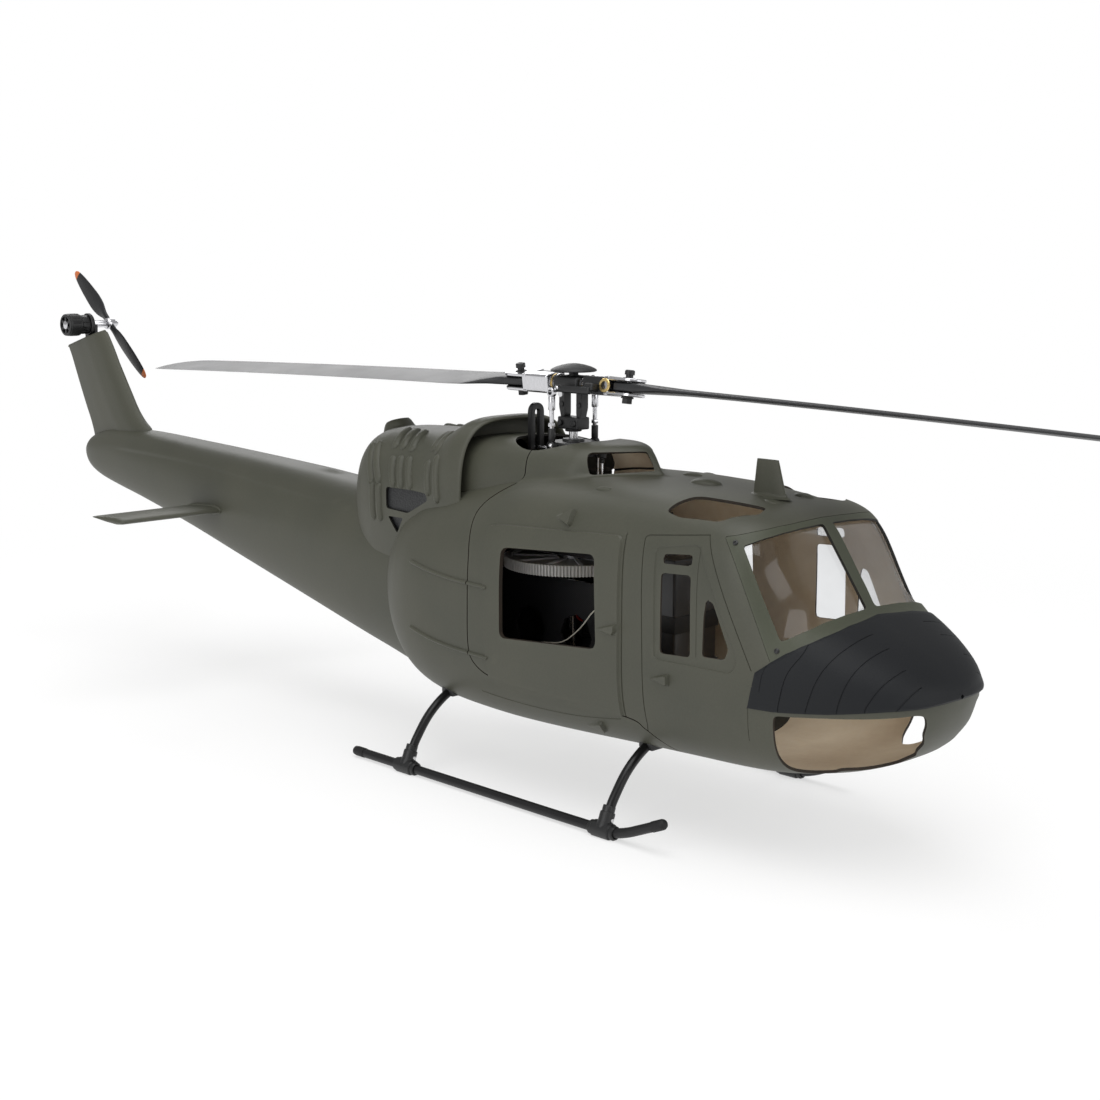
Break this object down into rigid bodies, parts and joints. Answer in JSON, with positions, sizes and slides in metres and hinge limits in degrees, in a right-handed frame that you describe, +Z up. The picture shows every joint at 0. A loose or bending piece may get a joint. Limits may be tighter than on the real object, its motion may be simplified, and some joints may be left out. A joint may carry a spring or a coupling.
{
  "type": "remote control helicopter",
  "caption": "Electric scale model utility helicopter: hollow two-part fuselage on skids, two-blade main rotor with swashplate and gear drive, motor-driven tail rotor.",
  "frame": {"origin": "middle of the bounding box at the height of the ground under the skids; the main rotor mast axis stands 87.665 mm ahead of it, towards -Y", "axes": "+Z up, nose towards -Y and tail towards +Y, +X to the port side"},
  "size_m": [0.2, 0.9614, 0.2705],
  "materials": {
    "shell_olive": "matt olive drab painted moulding",
    "frame_olive": "matt olive drab moulding, slightly darker",
    "nose_black": "fine textured matt black",
    "clear_sheet": "thin clear moulded sheet with a light grey tint",
    "satin_black_tube": "satin black tube",
    "moulded_black": "black moulded nylon",
    "carbon_plate": "black composite sheet with a woven sheen",
    "silver_alloy": "machined and lightly polished",
    "steel_shaft": "ground steel",
    "gear_white": "off-white moulded acetal",
    "pinion_brass": "machined brass",
    "blade_grey": "dark grey moulded composite, semi-gloss",
    "winding_copper": "enamelled copper wire on a steel core",
    "battery_wrap": "shrink-wrapped pack",
    "controller_grey": "anodised heat sink and shrink wrap",
    "tail_blade": "black moulded plastic, orange at the tips",
    "button_black": "semi-gloss black cap",
    "arm_white": "off-white moulded nylon"
  },
  "bodies": {
    "airframe": {"rear_fuselage": "shell_olive", "engine_cowl": "shell_olive", "grille_left": "nose_black", "grille_right": "nose_black", "stabilizer_left": "shell_olive", "stabilizer_right": "shell_olive", "frame_plate_left": "carbon_plate", "frame_plate_right": "carbon_plate", "servo_deck": "carbon_plate", "upper_bearing_block": "silver_alloy", "lower_bearing_block": "silver_alloy", "motor_mount": "silver_alloy", "motor_stator": "winding_copper", "battery_tray": "carbon_plate", "battery_pack": "battery_wrap", "speed_controller": "controller_grey", "flight_controller": "moulded_black", "servo_left": "moulded_black", "servo_right": "moulded_black", "servo_front": "moulded_black", "skid_left": "satin_black_tube", "skid_right": "satin_black_tube", "cross_tube_front": "satin_black_tube", "cross_tube_rear": "satin_black_tube", "skid_saddle_front_left": "moulded_black", "skid_saddle_front_right": "moulded_black", "skid_saddle_rear_left": "moulded_black", "skid_saddle_rear_right": "moulded_black", "swash_guide": "moulded_black", "tail_motor_mount": "moulded_black", "tail_motor_stator": "winding_copper"},
    "canopy_shell": {"canopy": "shell_olive", "windshield": "clear_sheet", "windshield_frame": "frame_olive", "nose_cover": "nose_black", "roof_antenna": "shell_olive"},
    "rotor": {"main_shaft": "steel_shaft", "main_gear": "gear_white", "rotor_hub": "moulded_black", "head_button": "button_black"},
    "swash_lower": {"swash_lower_ring": "moulded_black", "servo_rod_left": "moulded_black", "servo_rod_right": "moulded_black", "servo_rod_front": "moulded_black"},
    "swash_upper": {"swash_upper_ring": "moulded_black", "pitch_link_a": "silver_alloy", "pitch_link_b": "silver_alloy"},
    "grip_a": {"blade_grip_a": "silver_alloy", "blade_bolt_a": "steel_shaft"},
    "grip_b": {"blade_grip_b": "silver_alloy", "blade_bolt_b": "steel_shaft"},
    "blade_a": {"main_blade_a": "blade_grey"},
    "blade_b": {"main_blade_b": "blade_grey"},
    "arm_left": {"servo_arm_left": "arm_white"},
    "arm_right": {"servo_arm_right": "arm_white"},
    "arm_front": {"servo_arm_front": "arm_white"},
    "motor_rotor": {"motor_bell": "moulded_black", "motor_pinion": "pinion_brass"},
    "tail_spinner": {"tail_motor_bell": "moulded_black", "tail_rotor": "tail_blade"}
  },
  "joints": [
    {"name": "canopy_slide", "type": "slide", "parent": "airframe", "child": "canopy_shell", "axis": [0, -1, 0], "range_m": [0, 0.12]},
    {"name": "rotor_spin", "type": "hinge", "parent": "airframe", "child": "rotor", "pos_m": [0, -0.08767, 0.2165], "axis": [0, 0, 1], "continuous": true},
    {"name": "swash_slide", "type": "slide", "parent": "airframe", "child": "swash_lower", "axis": [0, 0, 1], "range_m": [-0.0045, 0.001]},
    {"name": "swash_upper_slide", "type": "slide", "parent": "rotor", "child": "swash_upper", "axis": [0, 0, 1], "range_m": [-0.0045, 0.001]},
    {"name": "grip_a_pitch", "type": "hinge", "parent": "rotor", "child": "grip_a", "pos_m": [0, -0.08767, 0.2165], "axis": [0, 1, 0], "range_deg": [-5, 18]},
    {"name": "grip_b_pitch", "type": "hinge", "parent": "rotor", "child": "grip_b", "pos_m": [0, -0.08767, 0.2165], "axis": [0, 1, 0], "range_deg": [-18, 5]},
    {"name": "blade_a_fold", "type": "hinge", "parent": "grip_a", "child": "blade_a", "pos_m": [0, -0.04666, 0.2165], "axis": [-0.1392, 0, 0.9903], "range_deg": [-80, 80]},
    {"name": "blade_b_fold", "type": "hinge", "parent": "grip_b", "child": "blade_b", "pos_m": [0, -0.12867, 0.2165], "axis": [0.1392, 0, 0.9903], "range_deg": [-80, 80]},
    {"name": "servo_arm_right_turn", "type": "hinge", "parent": "airframe", "child": "arm_right", "pos_m": [-0.0224, -0.07067, 0.144], "axis": [1, 0, 0], "range_deg": [-5, 20]},
    {"name": "servo_arm_left_turn", "type": "hinge", "parent": "airframe", "child": "arm_left", "pos_m": [0.0224, -0.07067, 0.144], "axis": [1, 0, 0], "range_deg": [-5, 20]},
    {"name": "servo_arm_front_turn", "type": "hinge", "parent": "airframe", "child": "arm_front", "pos_m": [0.0008, -0.12266, 0.144], "axis": [1, 0, 0], "range_deg": [-20, 5]},
    {"name": "motor_spin", "type": "hinge", "parent": "airframe", "child": "motor_rotor", "pos_m": [0, -0.13067, 0.1], "axis": [0, 0, 1], "continuous": true},
    {"name": "tail_spin", "type": "hinge", "parent": "airframe", "child": "tail_spinner", "pos_m": [0.0224, 0.43234, 0.2316], "axis": [1, 0, 0], "continuous": true}
  ],
  "couplings": [
    {"joint": "swash_upper_slide", "follows": "swash_slide", "ratio": 1},
    {"joint": "grip_a_pitch", "follows": "swash_slide", "rad_per_m": -64.516},
    {"joint": "grip_b_pitch", "follows": "swash_slide", "rad_per_m": 64.516},
    {"joint": "servo_arm_right_turn", "follows": "swash_slide", "rad_per_m": -71.43},
    {"joint": "servo_arm_left_turn", "follows": "swash_slide", "rad_per_m": -71.43},
    {"joint": "servo_arm_front_turn", "follows": "swash_slide", "rad_per_m": 71.43},
    {"joint": "motor_spin", "follows": "rotor_spin", "ratio": -9.1429}
  ]
}
